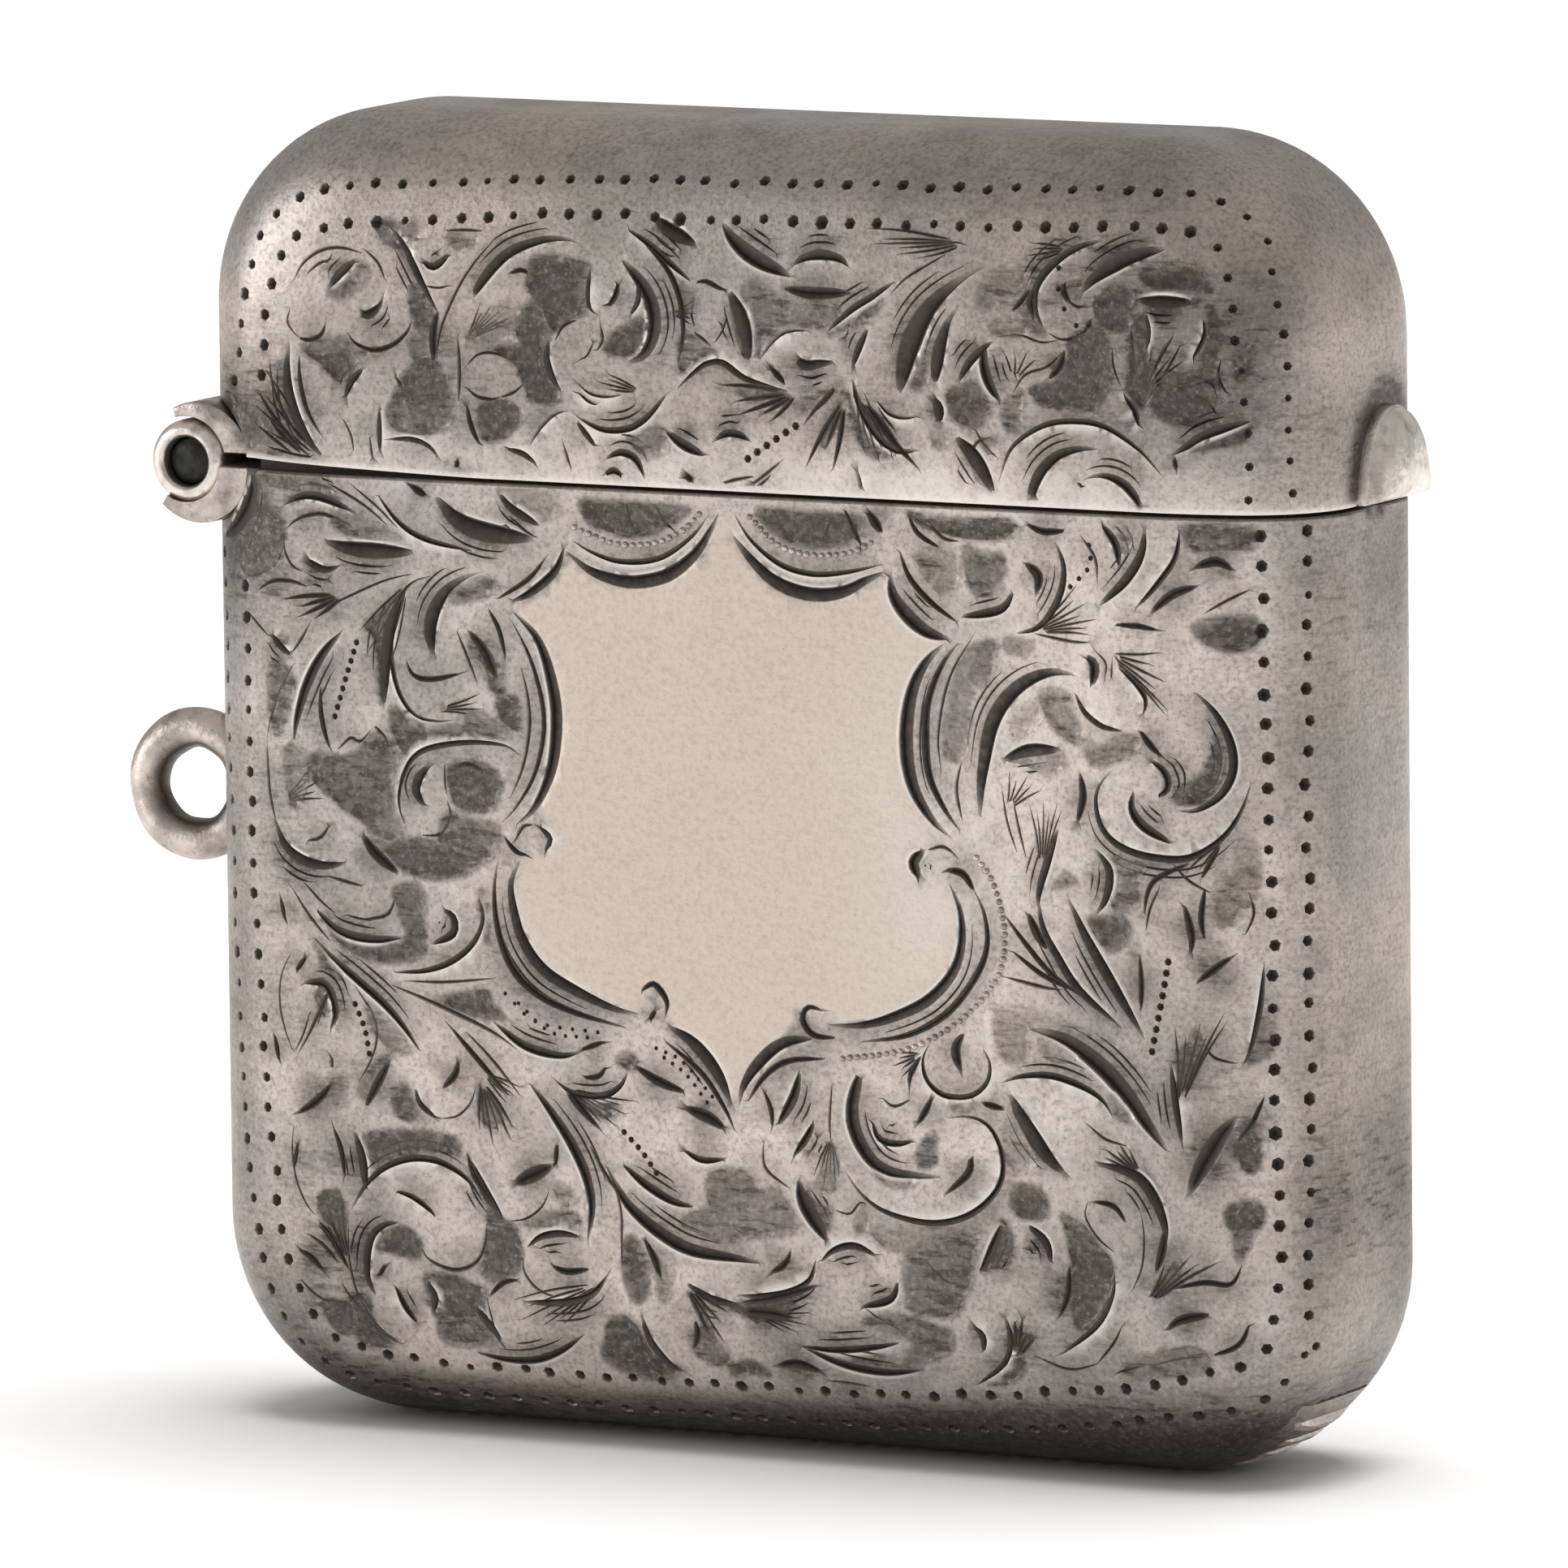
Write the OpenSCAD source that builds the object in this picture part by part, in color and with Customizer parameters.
// Vesta case: a pocket match safe pressed in thin silver, with a hinged lid, a chain ring and a ridged striker.
// Millimetres, Z up. The origin is the middle of the base, on the tops of the striker's ridges.
// The front faces -Y and the hinge is on the -X side.

/* [Case] */
// Width of the case across the front, without hinge, ring and thumb piece
case_w = 42; // [38:0.5:50]
// Height of the case, without the ridges under it
case_h = 44.1; // [40:0.1:60]
// Depth of the case from front to back
case_d = 11.1; // [10.4:0.1:14]
// Height of the lid above the seam
lid_h = 12; // [10.5:0.5:16]
// Thickness of the pressed sheet
wall = 0.6; // [0.4:0.05:0.8]
// Gap between lid and body at the seam
seam_gap = 0.12; // [0.08:0.02:0.2]

/* [Edges] */
// Radius of the rounded edge of each pressing
edge_r = 3.6; // [2.8:0.1:4.2]
// Radius of the soft crown between the rounded edge and the flat field
crown_r = 13; // [9:0.5:17]
// Angle that the crown turns through
crown_angle = 15; // [9:1:19]
// Corner radius of the flat field inside the crown
field_corner_r = 0.6; // [0.3:0.1:1.6]

/* [Mouth collar] */
// Thickness of the collar
collar_t = 0.4; // [0.3:0.05:0.6]
// Height of the collar above the body's rim
collar_up = 1.6; // [1:0.1:2.4]
// Depth of the collar inside the body
collar_down = 2.5; // [1.5:0.1:5]
// Clearance between the collar and the lid
collar_clear = 0.12; // [0.1:0.02:0.2]

/* [Hinge] */
// Length of the hinge from front to back
hinge_len = 9.4; // [8:0.1:9.6]
// Distance of the hinge axis outside the side of the case
hinge_out = 0.2; // [0.1:0.05:0.5]
// Outer radius of the hinge tubes
tube_r = 1.42; // [1.3:0.02:1.5]
// Radius of the hinge pin
pin_r = 0.8; // [0.6:0.02:0.9]
// Radial clearance of the pin in the body's tubes
pin_push_clear = 0.01; // [0.01:0.01:0.02]
// Radial clearance of the pin in the lid's tubes
pin_run_clear = 0.04; // [0.03:0.01:0.06]
// Depth of each end of the pin inside its tube
pin_recess = 0.5; // [0.2:0.1:1]
// Gap between neighbouring tubes
tube_gap = 0.08; // [0.05:0.01:0.15]
// Radius of the bearers that carry the tubes
bearer_r = 2.05; // [1.95:0.05:2.4]
// Distance of the bearers' centre inside the hinge axis
bearer_in = 0.5; // [0.35:0.05:0.7]
// Clearance between a bearer and the other half's tubes
seat_clear = 0.18; // [0.1:0.02:0.2]
// Angle where the lid's bearer ends, counted up from the seam
lid_bearer_angle = 118; // [100:1:120]
// Angle where the body's bearer ends, counted down from the seam
body_bearer_angle = 128; // [105:1:130]

/* [Striker] */
// Width of the striker from front to back
striker_w = 6; // [4:0.2:7]
// Height of the ridges' tops below the case
striker_proud = 0.3; // [0.2:0.05:0.5]
// Distance from ridge to ridge
ridge_pitch = 0.9; // [0.7:0.05:1.4]
// Width of the flat top of a ridge
ridge_top = 0.3; // [0.2:0.05:0.5]
// Angle that the striker climbs round each lower corner
striker_angle = 54; // [20:2:70]

/* [Ring] */
// Radius of the ring's wire
ring_wire_r = 0.68; // [0.5:0.02:0.9]
// Radius of the ring, to the middle of the wire
ring_r = 1.88; // [1.6:0.02:3]
// Height of the ring's centre above the base
ring_z = 20.8; // [12:0.2:27]
// Depth of the flat where the ring is soldered on
ring_flat = 0.25; // [0.15:0.05:0.4]

/* [Thumb piece] */
// Radius of the half-moon
thumb_r = 3.1; // [2:0.1:3.4]
// Thickness of its rim
thumb_t = 0.5; // [0.3:0.05:0.8]
// Height of its dome above the rim
thumb_dome = 0.6; // [0.3:0.05:1]

/* [Hidden] */
$fn = 96;

// Edge section: the side strip, the rounded edge and the crown add up to half the depth
function thousandths(v) = round(v * 1000) / 1000;
crown_lap = edge_r / 300;
crown_offset = crown_r - edge_r + crown_lap;
side_flat = thousandths(case_d / 2 - crown_r + crown_offset * cos(crown_angle));
corner_r = thousandths(field_corner_r + crown_offset * sin(crown_angle) + edge_r);
corner_x = case_w / 2 - corner_r;

// Heights
case_base_z = striker_proud;
case_top_z = case_base_z + case_h;
seam_z = case_top_z - lid_h;
rim_z = seam_z - seam_gap / 2;
lid_rim_z = seam_z + seam_gap / 2;

// Hinge
hinge_x = -case_w / 2 - hinge_out;
tube_count = 5;
tube_pitch = hinge_len / tube_count;
collar_cut_r = bearer_in + bearer_r + seat_clear;

// Striker: whole ridges on the straight base, with one in the middle, and round the corners
striker_r = corner_r + striker_proud;
base_half = floor(corner_x / ridge_pitch - 0.5);
corner_pitch = ridge_pitch / striker_r * 180 / PI;
corner_count = floor(striker_angle / corner_pitch);

// Thumb piece
thumb_sphere_r = (thumb_r * thumb_r + thumb_dome * thumb_dome) / (2 * thumb_dome);
thumb_seat = edge_r - sqrt(edge_r * edge_r - pow(max(0, thumb_r - side_flat), 2)) + wall;

// Longer than any cut needs
reach = case_w;

silver = "silver";
worn_silver = "gainsboro";
dark_silver = "slategray";

// Sections

// Quarter of the case's section, filled: x runs out from the corner's axis, y from the middle plane to the face.
// The crown cuts the rounded edge at a faint angle, so that the two arcs always cross.
module edge_fill(inset, extra = 0) {
    r = edge_r - inset;
    axis_x = corner_r - edge_r;
    intersection() {
        union() {
            translate([-extra, -extra]) square([corner_r - inset + extra, side_flat + extra]);
            polygon([
                [-extra, -extra], [axis_x, -extra], [axis_x, side_flat],
                [axis_x + case_d * sin(crown_angle), side_flat + case_d * cos(crown_angle)],
                [-extra, side_flat + case_d]
            ]);
            translate([axis_x, side_flat])
                intersection() {
                    circle(r);
                    square(r);
                }
        }
        translate([field_corner_r, case_d / 2 - crown_r]) circle(crown_r - inset);
        translate([field_corner_r - extra, -extra]) square(case_d);
    }
}

// Wall of that section, of thickness t
module edge_section(inset, t) {
    difference() {
        edge_fill(inset);
        edge_fill(inset + t, t);
    }
}

// Both halves of the edge section
module full_edge_section(inset, t) {
    edge_section(inset, t);
    mirror([0, 1]) edge_section(inset, t);
}

// Filled section of the case across its straight sides.
// The last two squares lie inside the others and cross the lines where these meet.
module plan_fill(inset) {
    field_half = corner_x + field_corner_r;
    face_y = case_d / 2 - inset;
    side_x = case_w / 2 - inset;
    lap = collar_t / 4;
    translate([-field_half, -face_y]) square([2 * field_half, 2 * face_y]);
    for (side = [0, 1], face = [0, 1])
        mirror([side, 0]) mirror([0, face]) translate([corner_x, 0]) edge_fill(inset);
    translate([-field_half - lap, lap - face_y]) square([2 * (field_half + lap), 2 * (face_y - lap)]);
    translate([lap - side_x, -side_flat]) square([2 * (side_x - lap), 2 * side_flat]);
}

// Flat field of a pressing of height h, with its closed end at the bottom
module field(h) {
    translate([-corner_x, corner_r - field_corner_r]) square([2 * corner_x, h - corner_r + field_corner_r]);
    translate([-corner_x - field_corner_r, corner_r]) square([2 * (corner_x + field_corner_r), h - corner_r]);
    for (side = [-1, 1]) translate([side * corner_x, corner_r]) circle(field_corner_r);
}

// Sweeps along the base, from the closed end's corner axes

// Along the straight part of the base
module sweep_base() {
    translate([corner_x, 0, corner_r]) rotate([180, 90, 0]) linear_extrude(2 * corner_x) children();
}

// Up round both lower corners, from the base through the angle given
module sweep_corners(angle) {
    for (side = [0, 1])
        mirror([side, 0, 0])
            translate([corner_x, 0, corner_r])
                rotate([90, 0, 0])
                    rotate([0, 0, -90])
                        rotate_extrude(angle = angle) children();
}

// Front half of a case of height h, closed at the bottom and open at the top
module pressing(h) {
    sweep_base() edge_section(0, wall);
    sweep_corners(90) edge_section(0, wall);
    for (side = [0, 1])
        mirror([side, 0, 0])
            translate([corner_x, 0, corner_r])
                linear_extrude(h - corner_r) mirror([0, 1]) edge_section(0, wall);
    translate([0, wall - case_d / 2, 0]) rotate([90, 0, 0]) linear_extrude(wall) field(h);
}

// Seats

// Places the hinge: x and y become the case's x and z, and z runs to the front
module at_hinge() {
    translate([hinge_x, 0, seam_z]) rotate([90, 0, 0]) children();
}

// Round seat of the two bearers in the walls
module bearer_seat() {
    at_hinge() translate([bearer_in, 0, -hinge_len / 2]) cylinder(r = bearer_r, h = hinge_len);
}

// Section of the slot that the striker is let into
module striker_slot_section() {
    translate([corner_r - 2 * wall, -striker_w / 2]) square([2 * wall + 2 * striker_proud, striker_w]);
}

// Slot in the base
module striker_slot() {
    translate([0, 0, case_base_z]) {
        sweep_base() striker_slot_section();
        sweep_corners(striker_angle) striker_slot_section();
    }
}

// Body

module body_front_half() {
    difference() {
        translate([0, 0, case_base_z]) pressing(rim_z - case_base_z);
        bearer_seat();
        striker_slot();
    }
}

module body_front_shell() {
    color(silver) body_front_half();
}

module body_back_shell() {
    color(silver) mirror([0, 1, 0]) body_front_half();
}

// Strip inside the mouth: soldered into the body below the rim, and clear of the lid above it
module mouth_collar() {
    outer = wall + collar_clear;
    color(worn_silver)
        difference() {
            union() {
                translate([0, 0, rim_z - collar_down]) linear_extrude(collar_down) plan_fill(wall);
                translate([0, 0, rim_z]) linear_extrude(collar_up) plan_fill(outer);
            }
            translate([0, 0, rim_z - 2 * collar_down])
                linear_extrude(2 * (collar_down + collar_up)) plan_fill(outer + collar_t);
            at_hinge() translate([0, 0, -case_d / 2]) cylinder(r = collar_cut_r, h = case_d);
        }
}

// Section of the striker, before its ridges are cut
module striker_section() {
    intersection() {
        full_edge_section(-striker_proud, wall + striker_proud);
        striker_slot_section();
    }
}

// One groove across the striker, cut up from the ridges' tops to the level of the case
module striker_groove() {
    half = (ridge_pitch - ridge_top) / 2;
    rotate([90, 0, 0])
        translate([0, 0, -striker_w])
            linear_extrude(2 * striker_w)
                polygon([[-2 * half, -striker_proud], [2 * half, -striker_proud], [0, striker_proud]]);
}

// Ridged strip let into the base, from part way up one lower corner to the same place on the other
module striker_plate() {
    color(dark_silver)
        difference() {
            translate([0, 0, case_base_z]) {
                sweep_base() striker_section();
                sweep_corners(striker_angle) striker_section();
            }
            for (i = [-base_half:base_half + 1])
                translate([(i - 0.5) * ridge_pitch, 0, 0]) striker_groove();
            for (side = [0, 1], i = [0:corner_count - 1])
                mirror([side, 0, 0])
                    translate([corner_x, 0, case_base_z + corner_r])
                        rotate([0, -(i + 0.5) * corner_pitch, 0])
                            translate([0, 0, -striker_r]) striker_groove();
        }
}

// Chain ring with a flat where it is soldered to the side
module suspension_ring() {
    color(worn_silver)
        difference() {
            translate([-case_w / 2 + ring_flat - ring_r - ring_wire_r, 0, ring_z])
                rotate([90, 0, 0]) rotate_extrude() translate([ring_r, 0]) circle(ring_wire_r);
            translate([-case_w / 2, -reach / 2, ring_z - reach / 2]) cube(reach);
        }
}

// Hinge

// One of the five tubes, counted from the front
module knuckle(i, clear) {
    color(worn_silver)
        at_hinge()
            translate([0, 0, hinge_len / 2 - (i + 1) * tube_pitch + tube_gap / 2])
                difference() {
                    cylinder(r = tube_r, h = tube_pitch - tube_gap);
                    translate([0, 0, -tube_pitch]) cylinder(r = pin_r + clear, h = 3 * tube_pitch);
                }
}

// Crescent of a bearer, on the side of the seam that dir gives, with a seat for one tube
module bearer_section(dir, end_angle, seat_r) {
    difference() {
        intersection() {
            translate([bearer_in, 0]) circle(bearer_r);
            polygon([
                [0, dir * seam_gap / 2],
                [reach, dir * seam_gap / 2],
                [reach, dir * reach],
                [reach * cos(end_angle), dir * reach * sin(end_angle)]
            ]);
        }
        circle(seat_r);
    }
}

// Bearer with a tight seat for each of its own tubes and a free one for each of the others
module bearer(dir, end_angle, own) {
    color(worn_silver)
        at_hinge()
            for (i = [0:tube_count - 1])
                translate([0, 0, hinge_len / 2 - (i + 1) * tube_pitch])
                    linear_extrude(tube_pitch)
                        bearer_section(dir, end_angle, i % 2 == own ? tube_r : tube_r + seat_clear);
}

module body_hinge_bearer() {
    bearer(-1, body_bearer_angle, 0);
}

module body_knuckle_front() {
    knuckle(0, pin_push_clear);
}

module body_knuckle_centre() {
    knuckle(2, pin_push_clear);
}

module body_knuckle_rear() {
    knuckle(4, pin_push_clear);
}

module hinge_pin() {
    color(dark_silver)
        at_hinge()
            translate([0, 0, pin_recess - hinge_len / 2]) cylinder(r = pin_r, h = hinge_len - 2 * pin_recess);
}

module lid_hinge_bearer() {
    bearer(1, lid_bearer_angle, 1);
}

module lid_knuckle_front() {
    knuckle(1, pin_run_clear);
}

module lid_knuckle_rear() {
    knuckle(3, pin_run_clear);
}

// Lid

module lid_front_half() {
    difference() {
        translate([0, 0, case_top_z]) mirror([0, 0, 1]) pressing(case_top_z - lid_rim_z);
        bearer_seat();
    }
}

module lid_front_shell() {
    color(silver) lid_front_half();
}

module lid_back_shell() {
    color(silver) mirror([0, 1, 0]) lid_front_half();
}

// Section of the thumb piece from its axis out, with the dome at the top
module thumb_section() {
    intersection() {
        translate([0, -thumb_seat]) square([thumb_r, thumb_seat + thumb_t + thumb_dome]);
        translate([0, thumb_t + thumb_dome - thumb_sphere_r]) circle(thumb_sphere_r);
    }
}

// Domed half-moon, fitted to the lid's rounded side with its straight edge on the lid's rim
module thumb_piece() {
    color(worn_silver)
        difference() {
            translate([case_w / 2, 0, lid_rim_z])
                rotate([90, 0, 90]) rotate_extrude(angle = 180) thumb_section();
            translate([0, 0, lid_rim_z - lid_h]) linear_extrude(2 * lid_h) plan_fill(0);
        }
}

body_front_shell();
body_back_shell();
mouth_collar();
striker_plate();
suspension_ring();
body_hinge_bearer();
body_knuckle_front();
body_knuckle_centre();
body_knuckle_rear();
hinge_pin();
lid_front_shell();
lid_back_shell();
lid_hinge_bearer();
lid_knuckle_front();
lid_knuckle_rear();
thumb_piece();
